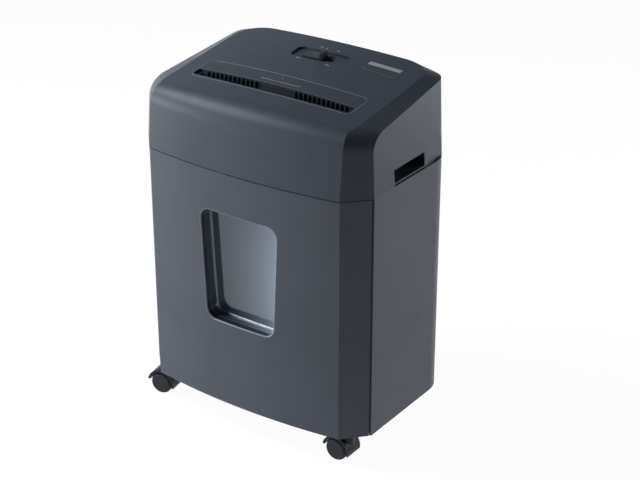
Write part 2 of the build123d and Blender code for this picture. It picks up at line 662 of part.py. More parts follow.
switch_plane = board_plane * Pos(SLIT_X, 0, BOARD[2] / 2 + SWITCH_H / 2)
switch = switch_plane * Box(SLIT_LENGTH + 10, 10, SWITCH_H)
channel = Pos(0, 0, SWITCH_H / 2) * Box(SLIT_LENGTH, STEM_W + 2 * SIDE_PLAY, 2 * CHANNEL)
save("slide_switch", switch - switch_plane * channel)
capacitor = board_plane * Pos(-36, 0, -BOARD[2] / 2 - 6) * Cylinder(5, 12)
save("capacitor", capacitor)

# Cord gland
gland = rod_y(GLAND_X, gland_face, gland_face + 1.6, GLAND_Z, 9.0)
gland = gland + rod_y(GLAND_X, gland_face - 15, gland_face + 0.5, GLAND_Z, 6.4)
gland = gland - rod_y(GLAND_X, gland_face - 16, gland_face + 3, GLAND_Z, 4.0)
save("cord_gland", gland)

# Side plates of the cutter block
PLATE_TOP = THROAT_Z - 2.0
front_low = COMB_FRONT_Y - COMB_BAR + 1
RODS = [(COMB_FRONT_Y - 3, FLOOR_Z + 16), (COMB_REAR_Y + 3, FLOOR_Z + 16), (COMB_REAR_Y + 5, CUTTER_Z + 17)]
left_rear = COMB_REAR_Y + 13
right_rear = MOTOR_AXIS[0] + MOTOR_R + 2
for side, sx, rear in (("left", -1, left_rear), ("right", 1, right_rear)):
    points = [
        (front_low, FLOOR_Z),
        (front_low, CUTTER_Z - 6),
        (front_low + 14, PLATE_TOP),
        (COMB_REAR_Y, PLATE_TOP + 8),
        (rear, PLATE_TOP + 8),
        (rear, FLOOR_Z),
    ]
    x0, x1 = sorted((sx * CUT_HALF, sx * PLATE_X))
    plate = extrude(across(x0) * make_face(Polyline(points, close=True)), amount=PLATE, dir=(1, 0, 0))
    for x, y in FRAME_SCREWS:
        if x * sx > 0:
            x2, x3 = sorted((sx * CUT_HALF, sx * (PLATE_X + 12)))
            plate = plate + bar(x2, x3, y - 8, y + 8, FLOOR_Z, FLOOR_Z + PLATE)
            plate = plate - rod_z(x, y, FLOOR_Z - 1, FLOOR_Z + PLATE + 1, PIN_R)
    for y, z in (FRONT_AXIS, REAR_AXIS):
        plate = plate - rod_x(x0 - 1, x1 + 1, y, z, JOURNAL_R + 4)
    for y, z in RODS:
        plate = plate - rod_x(x0 - 1, x1 + 1, y, z, 4.0)
    if side == "right":
        plate = plate - rod_x(x0 - 1, x1 + 1, *MOTOR_AXIS, MOTOR_SHAFT_R + 4)
        plate = plate - rod_x(x0 - 1, x1 + 1, *IDLER_AXIS, 4.0)
    save(f"cutter_frame_{side}", plate)
save("tie_rods", *[rod_x(-PLATE_X, PLATE_X, y, z, 4.0) for y, z in RODS])
bushes = []
for sx in (-1, 1):
    for y, z in (FRONT_AXIS, REAR_AXIS):
        x0, x1 = sorted((sx * (CUT_HALF - 0.6), sx * (PLATE_X + 0.4)))
        bushes.append(rod_x(x0, x1, y, z, JOURNAL_R + 4) - rod_x(x0 - 1, x1 + 1, y, z, JOURNAL_R + RUN))
save("shaft_bushes", *bushes)

# Cutters: discs with notched rims on a solid shaft, the two sets interleaved
rim = Circle(CUTTER_R) - PolarLocations(CUTTER_R, DISC_TEETH) * Rectangle(5.0, 3.0)
disc = extrude(across(0) * rim, amount=DISC, dir=(1, 0, 0))
CORE_END = CUT_HALF - 2.0


def disc_places(shift):
    """Middles of one shaft's discs along X."""
    return [(i - (DISC_COUNT - 1) / 2) * DISC_PITCH + shift for i in range(DISC_COUNT)]


FRONT_DISCS = disc_places(-DISC_PITCH / 4)
REAR_DISCS = disc_places(DISC_PITCH / 4)
for name, axis, places, end in (
    ("cutter_front", FRONT_AXIS, FRONT_DISCS, SYNC_X + GEAR_WIDTH),
    ("cutter_rear", REAR_AXIS, REAR_DISCS, DRIVE_X + GEAR_WIDTH),
):
    shaft = rod_x(-CORE_END, CORE_END, *axis, CORE_R) + rod_x(-PLATE_X - 3, end, *axis, JOURNAL_R)
    discs = [Pos(x - DISC / 2, *axis) * Rot(7 * i, 0, 0) * disc for i, x in enumerate(places)]
    save(name, shaft + discs)

# Combs that strip the shreds from between the discs
FINGER = DISC_PITCH - DISC - 2 * SIDE_PLAY
for name, axis, places, y0, sy in (
    ("stripper_comb_front", FRONT_AXIS, FRONT_DISCS, COMB_FRONT_Y, -1),
    ("stripper_comb_rear", REAR_AXIS, REAR_DISCS, COMB_REAR_Y, 1),
):
    low, high_y = sorted((y0, y0 + sy * COMB_BAR))
    comb = bar(-CUT_HALF, CUT_HALF, low, high_y, CUTTER_Z - 15, CUTTER_Z + 9)
    tip = axis[0] + sy * (CORE_R - 2)
    f0, f1 = sorted((tip, y0 + sy * 1.0))
    fingers = []
    for x in places[:-1]:
        middle = x + DISC_PITCH / 2
        finger = bar(middle - FINGER / 2, middle + FINGER / 2, f0, f1, CUTTER_Z - 9, CUTTER_Z + 7)
        fingers.append(finger - rod_x(middle - FINGER, middle + FINGER, *axis, CORE_R + 1.0))
    save(name, comb + fingers)

# Gear train on the right of the block
save("sync_gear_front", gear(SYNC_MODULE, SYNC_TEETH, SYNC_X, GEAR_WIDTH, FRONT_AXIS, 0, JOURNAL_R))
sync_turn = mesh_turn(0, SYNC_TEETH)
save("sync_gear_rear", gear(SYNC_MODULE, SYNC_TEETH, SYNC_X, GEAR_WIDTH, REAR_AXIS, sync_turn, JOURNAL_R))
save("drive_gear", gear(DRIVE_MODULE, DRIVE_TEETH, DRIVE_X, GEAR_WIDTH, REAR_AXIS, IDLER_ANGLE, JOURNAL_R))
IDLER_R = 4.0
pinion_turn = mesh_turn(IDLER_ANGLE, PINION_TEETH)
pinion_width = WHEEL_X - DRIVE_X
idler = gear(DRIVE_MODULE, PINION_TEETH, DRIVE_X, pinion_width, IDLER_AXIS, pinion_turn, IDLER_R + RUN)
wheel_width = TRAIN_X - WHEEL_X
wheel = gear(WHEEL_MODULE, WHEEL_TEETH, WHEEL_X, wheel_width, IDLER_AXIS, MOTOR_ANGLE, IDLER_R + RUN)
save("idler_gear", idler + wheel)
save("idler_axle", rod_x(CUT_HALF, TRAIN_X + 2, *IDLER_AXIS, IDLER_R))

# Motor
MOTOR_X0 = CUT_HALF - MOTOR_LENGTH
CAP = 3.0
housing = rod_x(MOTOR_X0, CUT_HALF, *MOTOR_AXIS, MOTOR_R)
housing = housing - rod_x(MOTOR_X0 + CAP, CUT_HALF - CAP, *MOTOR_AXIS, MOTOR_R - CAP)
housing = housing - rod_x(MOTOR_X0 - 1, CUT_HALF + 1, *MOTOR_AXIS, MOTOR_SHAFT_R + RUN)
for angle in range(0, 360, 60):
    vent = Pos(MOTOR_X0, *MOTOR_AXIS) * Rot(angle, 0, 0) * Pos(0, 0, MOTOR_R - 12) * Box(3 * CAP, 10, 8)
    housing = housing - vent
save("motor_housing", housing)
STACK = (MOTOR_X0 + 22, CUT_HALF - 20)
ROTOR_R = 18.0
stator = rod_x(*STACK, *MOTOR_AXIS, MOTOR_R - CAP)
save("motor_stator", stator - rod_x(STACK[0] - 1, STACK[1] + 1, *MOTOR_AXIS, ROTOR_R + 0.6))
rotor = rod_x(MOTOR_X0 - 16, TRAIN_X + 1, *MOTOR_AXIS, MOTOR_SHAFT_R) + rod_x(*STACK, *MOTOR_AXIS, ROTOR_R)
save("motor_rotor", rotor)
motor_turn = mesh_turn(MOTOR_ANGLE, MOTOR_PINION_TEETH)
motor_seat = (MOTOR_AXIS, motor_turn, MOTOR_SHAFT_R)
save("motor_pinion", gear(WHEEL_MODULE, MOTOR_PINION_TEETH, WHEEL_X, wheel_width, *motor_seat))
FAN_X = MOTOR_X0 - 14
fan = rod_x(FAN_X, FAN_X + 10, *MOTOR_AXIS, 8.0) + rod_x(FAN_X + 8, FAN_X + 10, *MOTOR_AXIS, MOTOR_R - 5)
BLADE = MOTOR_R - 13
for i in range(7):
    blade = Pos(0, 0, 7 + BLADE / 2) * Box(9, 1.6, BLADE)
    blade = Pos(FAN_X + 4.5, *MOTOR_AXIS) * Rot(360 / 7 * i, 0, 0) * blade
    fan = fan + blade
fan = fan - rod_x(FAN_X - 1, FAN_X + 11, *MOTOR_AXIS, MOTOR_SHAFT_R)
save("motor_fan", fan)
CRADLE_X = MOTOR_X0 + 8
cradle = bar(CRADLE_X, CRADLE_X + 10, MOTOR_AXIS[0] - 24, MOTOR_AXIS[0] + 24, FLOOR_Z, MOTOR_AXIS[1] - 14)
save("motor_cradle", cradle - rod_x(CRADLE_X - 1, CRADLE_X + 11, *MOTOR_AXIS, MOTOR_R))

# Bin interlock: plunger lifted by the front panel's top, under a microswitch
DROP = 3.0
plunger = rod_z(*PLUNGER, PANEL_Z1 + SEAT, FLOOR_Z + 12, PLUNGER_R)
plunger = plunger + rod_z(*PLUNGER, FLOOR_Z + 8 + DROP + SEAT, FLOOR_Z + 12.5, PLUNGER_R + 1.5)
save("interlock_plunger", plunger)
save(
    "interlock_switch",
    bar(PLUNGER[0] - 11, PLUNGER[0] + 11, PLUNGER[1] - 3, PLUNGER[1] + 3, FLOOR_Z + 16, FLOOR_Z + 26),
)

# Screws, each kind as one group
save("head_screws", *[screw(x, y, HEAD_SEAT, 14.0) for x, y in HEAD_SCREWS])
save("frame_screws", *[screw(x, y, HEAD_SEAT, 5.5) for x, y in FRAME_SCREWS])
cabinet_screws = []
for x, y in GUSSETS:
    cabinet_screws.append(Pos(x, y, FLOOR_Z) * Rot(180, 0, 0) * screw(0, 0, 0, 9.0))
save("cabinet_screws", *cabinet_screws)

# Casters: hood on a stem, two wheels on an axle
FENDER_IN = WHEEL_R + FENDER_GAP
FENDER_R = FENDER_IN + FENDER_WALL
HALF_HOOD = WEB / 2 + SIDE_PLAY + WHEEL_WIDTH
NECK_Z = BODY_Z0 - 0.6
CASTERS = {"fl": (-1, -1, 10.0), "fr": (1, -1, 0.0), "rl": (-1, 1, 255.0), "rr": (1, 1, 290.0)}
STEM_LOW = WHEEL_R + FENDER_IN - 1.0


def caster_pieces():
    """Hood, stem, axle and the two wheels of one caster, stem on the Z axis, wheels trailing to -X."""
    centre = -CASTER_TRAIL
    hood = rod_y(centre, -HALF_HOOD, HALF_HOOD, WHEEL_R, FENDER_R)
    hood = hood - rod_y(centre, -HALF_HOOD - 1, HALF_HOOD + 1, WHEEL_R, FENDER_IN)
    below = Pos(0, 0, -FENDER_R) * Box(3 * FENDER_R, 60, 2 * FENDER_R)
    below = Pos(centre, 0, WHEEL_R) * Rot(0, 12, 0) * below
    hood = hood - below
    web = rod_y(centre, -WEB / 2, WEB / 2, WHEEL_R, FENDER_R - 0.5)
    web = web - (below - rod_y(centre, -WEB, WEB, WHEEL_R, AXLE_R + 3.5))
    neck = rod_z(0, 0, WHEEL_R, NECK_Z, STEM_R + 4.5) - rod_y(centre, -30, 30, WHEEL_R, FENDER_IN)
    stem_hole = rod_z(0, 0, STEM_LOW, NECK_Z + 1, STEM_R)
    hood = hood + web + neck - stem_hole - rod_y(centre, -30, 30, WHEEL_R, AXLE_R)
    stem = rod_z(0, 0, STEM_LOW, SOCKET_Z - 3, STEM_R)
    axle = rod_y(centre, SIDE_PLAY - HALF_HOOD, HALF_HOOD - SIDE_PLAY, WHEEL_R, AXLE_R)
    wheels = []
    for sy in (-1, 1):
        y0, y1 = sorted((sy * (WEB / 2 + SIDE_PLAY), sy * HALF_HOOD))
        wheel = rod_y(centre, y0, y1, WHEEL_R, WHEEL_R)
        rims = wheel.edges().filter_by(GeomType.CIRCLE).sort_by(Axis.Y)
        wheel = fillet(rims[0], WHEEL_OUTER_ROUND if sy < 0 else WHEEL_INNER_ROUND)
        rims = wheel.edges().filter_by(GeomType.CIRCLE).sort_by(Axis.Y)
        wheel = fillet(rims[-1], WHEEL_INNER_ROUND if sy < 0 else WHEEL_OUTER_ROUND)
        cup0, cup1 = sorted((sy * (WEB / 2), sy * (HALF_HOOD - 3.0)))
        cup = rod_y(centre, cup0, cup1, WHEEL_R, WHEEL_R - 2.6) - rod_y(centre, cup0, cup1, WHEEL_R, 5.0)
        wheel = wheel - cup
        hub0, hub1 = sorted((0.0, sy * (HALF_HOOD - SIDE_PLAY + SEAT)))
        wheels.append(wheel - rod_y(centre, hub0, hub1, WHEEL_R, AXLE_R + RUN))
    return hood, stem, axle, wheels[0], wheels[1]


for name, (sx, sy, turn) in CASTERS.items():
    place = Pos(*stem_place(sx, sy), 0) * Rot(0, 0, turn)
    hood, stem, axle, wheel_a, wheel_b = caster_pieces()
    save(f"caster_hood_{name}", place * hood)
    save(f"caster_pins_{name}", place * stem, place * axle)
    save(f"caster_wheel_{name}_a", place * wheel_a)
    save(f"caster_wheel_{name}_b", place * wheel_b)
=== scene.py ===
"""Paper shredder: the looks of its head, cabinet, bin and casters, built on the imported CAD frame."""

import json
import math

import bpy
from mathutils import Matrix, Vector


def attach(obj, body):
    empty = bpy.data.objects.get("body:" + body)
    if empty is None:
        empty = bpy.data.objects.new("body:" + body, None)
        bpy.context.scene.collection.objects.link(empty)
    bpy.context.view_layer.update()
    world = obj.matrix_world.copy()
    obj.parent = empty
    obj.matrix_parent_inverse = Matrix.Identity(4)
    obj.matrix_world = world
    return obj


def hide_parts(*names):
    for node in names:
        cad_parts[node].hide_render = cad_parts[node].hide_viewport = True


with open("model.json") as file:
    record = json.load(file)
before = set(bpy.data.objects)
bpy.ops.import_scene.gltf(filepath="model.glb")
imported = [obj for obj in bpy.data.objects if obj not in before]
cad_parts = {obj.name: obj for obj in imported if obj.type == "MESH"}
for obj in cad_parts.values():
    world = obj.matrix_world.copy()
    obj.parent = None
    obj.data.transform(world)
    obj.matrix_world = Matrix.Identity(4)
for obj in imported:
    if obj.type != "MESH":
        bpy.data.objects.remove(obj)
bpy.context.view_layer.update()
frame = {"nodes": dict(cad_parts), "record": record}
BODY_OF = {n: b for b, nodes in frame["record"]["behaviour"]["bodies"].items() for n in nodes}
MM = 0.001

# The head's crowned top, which the printed and raised marks follow, in millimetres
TOP_Z, TOP_SLOPE, CROWN, CROWN_X = 443.7, 0.131, 5.3, 140.0
TOP_HALF_X, TOP_HALF_Y = 140.0, 100.0

# Box round the window's outline on the bin's front, and its rounded edge, in millimetres
WINDOW_HALF, WINDOW_LOW, WINDOW_HIGH, WINDOW_FRONT_Y = 58.0, 150.0, 298.0, -101.5
WINDOW_EDGE = 1.5

# From which share of its normal a face counts as looking forward or up, and how far under the head's
# top the funnel starts, in millimetres: they pick the lip's and funnel's faces that get painted shade
LOOKS_FORWARD, LOOKS_UP = 0.7, 0.9
FUNNEL_STARTS = 1.0

# Merging and easing of the mouldings' copies: metres, degrees, degrees
SAME_POINT = 2e-6
FLAT_WITHIN = 0.4
SHARP_FROM = 35.0
FACE_WEIGHT = 60

# Marks on the top: where a flat mark starts before it is laid down, in metres, and in millimetres
# how finely a line is cut and how it sits in the surface
LAID_FROM = 0.6
LINE_STEP = 8.0
MARK_SINK, MARK_THICK = -0.1, 0.25
SEAM_CORNER, SEAM_CORNER_STEPS, SEAM_CUTS, SEAM_THICK = 9.0, 6, 19, 0.3
SEAM_LONG_EDGE, SEAM_REACH = 15.0, 3.0


def blank_finish(name):
    """A new material with its principled shader, ready for more nodes."""
    finish = bpy.data.materials.new(name)
    finish.use_nodes = True
    tree = finish.node_tree
    shader = tree.nodes["Principled BSDF"]
    return finish, tree, shader


def node(tree, kind, **values):
    """A node of that kind, its sockets set by name and its properties by lower-case name."""
    made = tree.nodes.new(kind)
    for key, value in values.items():
        if key[0].isupper():
            made.inputs[key.replace("_", " ")].default_value = value
        else:
            setattr(made, key, value)
    return made


def object_place(tree, stretch=(1, 1, 1)):
    """Object coordinates, stretched."""
    coords = node(tree, "ShaderNodeTexCoord")
    mapping = node(tree, "ShaderNodeMapping", Scale=stretch)
    tree.links.new(coords.outputs["Object"], mapping.inputs["Vector"])
    return mapping.outputs["Vector"]


def noise(tree, place, scale, detail=2.0, rough=0.5):
    """Noise value of that scale per metre."""
    made = node(tree, "ShaderNodeTexNoise", Scale=scale, Detail=detail, Roughness=rough)
    tree.links.new(place, made.inputs["Vector"])
    return made.outputs["Fac"]


def spread(tree, value, low, high, start=0.3, stop=0.7):
    """A value mapped to run between low and high."""
    made = node(tree, "ShaderNodeMapRange", From_Min=start, From_Max=stop, To_Min=low, To_Max=high)
    tree.links.new(value, made.inputs["Value"])
    return made.outputs["Result"]


def tint(tree, value, dark, light):
    """A colour that runs from dark to light with the value."""
    made = node(tree, "ShaderNodeMix", data_type="RGBA")
    for socket, fill in ((made.inputs[6], dark), (made.inputs[7], light)):
        socket.default_value = (*fill, 1)
    tree.links.new(value, made.inputs["Factor"])
    return made.outputs[2]


def bump(tree, height, strength, distance):
    """Normal from a height pattern."""
    made = node(tree, "ShaderNodeBump", Strength=strength, Distance=distance)
    tree.links.new(height, made.inputs["Height"])
    return made.outputs["Normal"]


def shade(colour, by):
    """A colour made darker or lighter."""
    return tuple(min(1.0, c * by) for c in colour)


def moulded_plastic(name, colour, rough=0.42, sheen=0.5, grain=1500.0, depth=0.12, mottle=0.06):
    """Injection-moulded plastic: spark-eroded grain, slight cloudiness in tone and gloss."""
    finish, tree, shader = blank_finish(name)
    place = object_place(tree)
    cloud = noise(tree, place, 9.0, 3.0)
    fine = noise(tree, place, grain, 2.0, 0.6)
    toned = tint(tree, spread(tree, cloud, 0, 1), shade(colour, 1 - mottle), shade(colour, 1 + mottle))
    tree.links.new(toned, shader.inputs["Base Color"])
    gloss = noise(tree, place, 45.0, 4.0, 0.65)
    tree.links.new(spread(tree, gloss, rough - 0.05, rough + 0.06), shader.inputs["Roughness"])
    shader.inputs["Specular IOR Level"].default_value = sheen
    tree.links.new(bump(tree, fine, depth, 0.0002), shader.inputs["Normal"])
    return finish


def smoke_with_painted_light(name, deep, pale):
    """Polished smoke-grey sheet, faintly wiped, painted dark on the left and pale on the right: painted
    shade and light.
    """
    finish, tree, shader = blank_finish(name)
    place = object_place(tree)
    across = node(tree, "ShaderNodeSeparateXYZ")
    tree.links.new(place, across.inputs[0])
    # Ramp across X, dark on the left and pale on the right: painted shade and light
    depth = spread(tree, across.outputs["X"], 0, 1, -WINDOW_HALF * MM, WINDOW_HALF * MM)
    painted_light_ramp = node(tree, "ShaderNodeMath", operation="POWER")
    painted_light_ramp.inputs[1].default_value = 3.0
    tree.links.new(depth, painted_light_ramp.inputs[0])
    tree.links.new(tint(tree, painted_light_ramp.outputs[0], deep, pale), shader.inputs["Base Color"])
    wiped = noise(tree, object_place(tree, (1, 1, 6)), 60.0, 3.0)
    tree.links.new(spread(tree, wiped, 0.10, 0.13), shader.inputs["Roughness"])
    shader.inputs["Specular IOR Level"].default_value = 1.0
    shader.inputs["Specular Tint"].default_value = (0.80, 0.90, 1.0, 1)
    shader.inputs["Coat Weight"].default_value = 0.25
    shader.inputs["Coat Roughness"].default_value = 0.06
    return finish


def brushed_metal(name, colour, rough=0.32, stretch=(1, 40, 40), depth=0.1, metallic=1.0):
    """Metal with fine lines along one direction."""
    finish, tree, shader = blank_finish(name)
    place = object_place(tree, stretch)
    lines = noise(tree, place, 60.0, 4.0, 0.7)
    smudge = noise(tree, object_place(tree), 30.0, 3.0)
    toned = tint(tree, spread(tree, lines, 0, 1), shade(colour, 0.86), shade(colour, 1.1))
    tree.links.new(toned, shader.inputs["Base Color"])
    tree.links.new(spread(tree, smudge, rough - 0.08, rough + 0.1), shader.inputs["Roughness"])
    shader.inputs["Metallic"].default_value = metallic
    tree.links.new(bump(tree, lines, depth, 0.0001), shader.inputs["Normal"])
    return finish


def banded_metal(name, colour, pitch, rough=0.4, metallic=0.9):
    """Stacked sheet metal: fine bands across X."""
    finish, tree, shader = blank_finish(name)
    place = object_place(tree)
    bands = node(tree, "ShaderNodeTexWave", Scale=0.314 / pitch, Distortion=0.6, bands_direction="X")
    tree.links.new(place, bands.inputs["Vector"])
    toned = tint(tree, bands.outputs["Fac"], shade(colour, 0.6), shade(colour, 1.15))
    tree.links.new(toned, shader.inputs["Base Color"])
    worn = spread(tree, noise(tree, place, 60.0), rough - 0.08, rough + 0.12)
    tree.links.new(worn, shader.inputs["Roughness"])
    shader.inputs["Metallic"].default_value = metallic
    tree.links.new(bump(tree, bands.outputs["Fac"], 0.25, 0.0002), shader.inputs["Normal"])
    return finish


def board_finish(name):
    """Green laminate with paler copper tracks under its lacquer."""
    finish, tree, shader = blank_finish(name)
    place = object_place(tree)
    tracks = node(tree, "ShaderNodeTexBrick", Scale=55.0, Mortar_Size=0.03)
    tracks.inputs["Brick Width"].default_value = 0.9
    tracks.inputs["Row Height"].default_value = 0.22
    tracks.inputs["Color1"].default_value = (0.010, 0.055, 0.026, 1)
    tracks.inputs["Color2"].default_value = (0.013, 0.064, 0.030, 1)
    tracks.inputs["Mortar"].default_value = (0.05, 0.17, 0.075, 1)
    tree.links.new(place, tracks.inputs["Vector"])
    tree.links.new(tracks.outputs["Color"], shader.inputs["Base Color"])
    tree.links.new(spread(tree, noise(tree, place, 80.0), 0.28, 0.42), shader.inputs["Roughness"])
    tree.links.new(bump(tree, tracks.outputs["Fac"], 0.2, 0.0001), shader.inputs["Normal"])
    return finish


def print_finish(name, colour):
    """Pad-printed ink, slightly uneven."""
    finish, tree, shader = blank_finish(name)
    place = object_place(tree)
    worn = noise(tree, place, 700.0, 3.0)
    inked = tint(tree, spread(tree, worn, 0, 1), shade(colour, 0.8), colour)
    tree.links.new(inked, shader.inputs["Base Color"])
    tree.links.new(spread(tree, worn, 0.5, 0.62), shader.inputs["Roughness"])
    return finish


SHELL_GREY = (0.077, 0.0945, 0.1245)
# The head's slate and a lighter copy of it for the cabinet and the bin's front: painted light on the lower
# body
CABINET_LIT_GREY = (0.103, 0.116, 0.146)
FINISHES = {
    "shell_plastic": moulded_plastic("shell_plastic", SHELL_GREY, 0.40, 0.2),
    "inner_plastic": moulded_plastic("inner_plastic", (0.030, 0.034, 0.042), 0.48, 0.25),
    "base_plastic": moulded_plastic("base_plastic", (0.040, 0.044, 0.052), 0.5, 0.3),
    # The window's smoke grey is painted dark on the left and pale on the right: painted shade and light
    "window_plastic": smoke_with_painted_light("window_plastic", (0.042, 0.058, 0.090), (0.42, 0.50, 0.62)),
    "caster_plastic": moulded_plastic("caster_plastic", (0.022, 0.025, 0.031), 0.42, 0.2),
    "wheel_plastic": moulded_plastic("wheel_plastic", (0.042, 0.048, 0.060), 0.45, 0.15),
    "comb_plastic": moulded_plastic("comb_plastic", (0.025, 0.026, 0.028), 0.5, 0.35),
    "gear_nylon": moulded_plastic("gear_nylon", (0.62, 0.60, 0.53), 0.42, 0.4, 900.0, 0.08, 0.04),
    "fan_plastic": moulded_plastic("fan_plastic", (0.022, 0.022, 0.024), 0.4, 0.4),
    "sensor_plastic": moulded_plastic("sensor_plastic", (0.014, 0.014, 0.016), 0.35, 0.45),
    "gland_rubber": moulded_plastic("gland_rubber", (0.016, 0.016, 0.017), 0.62, 0.3, 700.0, 0.2),
    "motor_paint": moulded_plastic("motor_paint", (0.035, 0.037, 0.040), 0.36, 0.5, 260.0, 0.15),
    "pin_steel": brushed_metal("pin_steel", (0.55, 0.56, 0.58), 0.3, (40, 40, 1)),
    "frame_steel": brushed_metal("frame_steel", (0.60, 0.60, 0.58), 0.36, (40, 2, 1)),
    "cutter_steel": brushed_metal("cutter_steel", (0.46, 0.46, 0.47), 0.34, (1, 30, 30)),
    "gear_steel": brushed_metal("gear_steel", (0.40, 0.40, 0.41), 0.4, (1, 30, 30)),
    "bush_bronze": brushed_metal("bush_bronze", (0.52, 0.34, 0.16), 0.38, (30, 30, 30)),
    "strip_silver": brushed_metal("strip_silver", (0.54, 0.57, 0.61), 0.5, (2, 60, 60), 0.08, 0.25),
    "motor_iron": banded_metal("motor_iron", (0.28, 0.28, 0.29), 0.001),
    "board_laminate": board_finish("board_laminate"),
}
WHITE_PRINT = print_finish("white_print", (0.55, 0.57, 0.60))
# Grey ink for the strip's frame, and for the line along the slot's rear edge, where it is a painted
# highlight
GREY_PRINT_AND_HIGHLIGHT = print_finish("grey_print_and_highlight", (0.22, 0.24, 0.27))
# Pale grey for the bead round the bezel's seam, standing for the seam's edge highlight: painted highlight
BEAD_HIGHLIGHT = print_finish("bead_highlight", (0.34, 0.37, 0.41))

SLOT_OF = {s["node"]: s["material_slot"] for s in frame["record"]["subparts"]}
for name, cad in frame["nodes"].items():
    cad.data.materials.clear()
    cad.data.materials.append(FINISHES[SLOT_OF[name]])


def select_only(piece):
    """Nothing but this piece selected and active."""
    if bpy.context.mode != "OBJECT":
        bpy.ops.object.mode_set(mode="OBJECT")
    bpy.ops.object.select_all(action="DESELECT")
    piece.select_set(True)
    bpy.context.view_layer.objects.active = piece


def edit(piece):
    """Edit mode with everything in the piece selected."""
    select_only(piece)
    bpy.ops.object.mode_set(mode="EDIT")
    bpy.ops.mesh.select_all(action="SELECT")


def leave():
    """Back to object mode."""
    bpy.ops.object.mode_set(mode="OBJECT")


def settle(piece, name, body, finish):
    """Name a finished piece, put its place in its mesh, and let it ride on its body."""
    select_only(piece)
    bpy.ops.object.transform_apply(location=True, rotation=True, scale=True)
    piece.name = name
    piece.data.name = name
    piece.data.materials.clear()
    piece.data.materials.append(finish)
    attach(piece, body)
    return piece


def by_window(x, z):
    """True inside the box round the window's outline, for a place in millimetres."""
    return abs(x) < WINDOW_HALF and WINDOW_LOW < z < WINDOW_HIGH


def round_window_edge(piece):
    """Round the bin front's edge at the window, lighter as painted highlight; the lip's walls dark as
    painted shade.
    """
    # Lighter grey on the rounded edge round the window: painted highlight
    piece.data.materials.append(moulded_plastic("window_edge_highlight", (0.24, 0.26, 0.30), 0.3, 0.5))
    # Dark tint on the lip's walls, which are the bin front's own plastic: painted shade
    piece.data.materials.append(smoke_with_painted_light("lip_painted_shade", (0.022, 0.030, 0.042), (0.04, 0.05, 0.065)))
    edge_highlight_finish, lip_shade_finish = 1, 2
    for face in piece.data.polygons:
        x, _, z = face.center / MM
        if by_window(x, z) and abs(face.normal.y) < LOOKS_FORWARD:
            face.material_index = lip_shade_finish
    near = []
    for point in piece.data.vertices:
        x, y, z = point.co / MM
        near.append(by_window(x, z) and y < WINDOW_FRONT_Y)
    for face in piece.data.polygons:
        face.select = False
    for point in piece.data.vertices:
        point.select = False
    for edge in piece.data.edges:
        edge.select = all(near[i] for i in edge.vertices)
    bpy.ops.object.mode_set(mode="EDIT")
    bpy.ops.mesh.select_mode(type="EDGE")
    bpy.ops.mesh.bevel(offset=WINDOW_EDGE * MM, segments=3, affect="EDGES", material=edge_highlight_finish)
    bpy.ops.mesh.select_mode(type="VERT")
    leave()


def moulding(name, edge):
    """A smooth-shaded copy of a CAD node, its sharp edges eased by a small bevel, that stands for it."""
    cad = frame["nodes"][name]
    piece = cad.copy()
    piece.data = cad.data.copy()
    for key in list(piece.keys()):
        del piece[key]
    bpy.context.scene.collection.objects.link(piece)
    piece.parent = None
    piece.name = name + "_moulding"
    edit(piece)
    bpy.ops.mesh.remove_doubles(threshold=SAME_POINT)
    bpy.ops.mesh.dissolve_limited(angle_limit=math.radians(FLAT_WITHIN))
    leave()
    if piece.data.has_custom_normals:
        bpy.ops.mesh.customdata_custom_splitnormals_clear()
    if name == "bin_front":
        round_window_edge(piece)
    ease = piece.modifiers.new("eased_edges", "BEVEL")
    ease.width = edge * MM
    ease.segments = 2
    ease.limit_method = "ANGLE"
    ease.angle_limit = math.radians(SHARP_FROM)
    ease.harden_normals = False
    bpy.ops.object.modifier_apply(modifier="eased_edges")
    bpy.ops.object.shade_smooth_by_angle(angle=math.radians(SHARP_FROM))
    level = piece.modifiers.new("level_faces", "WEIGHTED_NORMAL")
    level.keep_sharp = True
    level.weight = FACE_WEIGHT
    bpy.ops.object.modifier_apply(modifier="level_faces")
    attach(piece, BODY_OF[name])
    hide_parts(name)
    return piece


# How much the sharp edges of each outer moulding are eased, in millimetres
EASED = {
    "cabinet_shell": 0.4,
    "bin_front": 0.5,
    "throat_guide": 0.3,
    "bin_window": 0.15,
    "status_strip": 0.2,
    "switch_knob": 0.5,
    "grip_pocket_left": 0.4,
    "grip_pocket_right": 0.4,
    "cabinet_base": 0.4,
    "bin_tub": 0.4,
    "cord_gland": 0.3,
}
for corner in ("fl", "fr", "rl", "rr"):
    EASED[f"caster_hood_{corner}"] = 0.5
    EASED[f"caster_wheel_{corner}_a"] = 0.3
    EASED[f"caster_wheel_{corner}_b"] = 0.3
COPIES = {}
for name, edge in EASED.items():
    COPIES[name] = moulding(name, edge)


def refinish(name, finish):
    """Another finish on a copy that stands for a CAD node."""
    COPIES[name].data.materials[0] = finish


BEZEL = moulded_plastic("bezel_plastic", shade(SHELL_GREY, 0.92), 0.42, 0.2)
# A darker copy of the shell grey for the funnel's sunk faces: painted shade
FUNNEL_SHADE = moulded_plastic("funnel_painted_shade", shade(SHELL_GREY, 0.6), 0.5, 0.12)
KNOB = moulded_plastic("knob_plastic", shade(SHELL_GREY, 0.62), 0.34, 0.3)
POCKET = moulded_plastic("pocket_plastic", shade(SHELL_GREY, 0.5), 0.5, 0.15)
# The cabinet shell and the bin's front in the lighter copy of the slate: painted light
CABINET_LIT = moulded_plastic("cabinet_lit_plastic", CABINET_LIT_GREY, 0.40, 0.2)
refinish("cabinet_shell", CABINET_LIT)
refinish("bin_front", CABINET_LIT)
refinish("throat_guide", BEZEL)
refinish("switch_knob", KNOB)
refinish("grip_pocket_left", POCKET)
refinish("grip_pocket_right", POCKET)


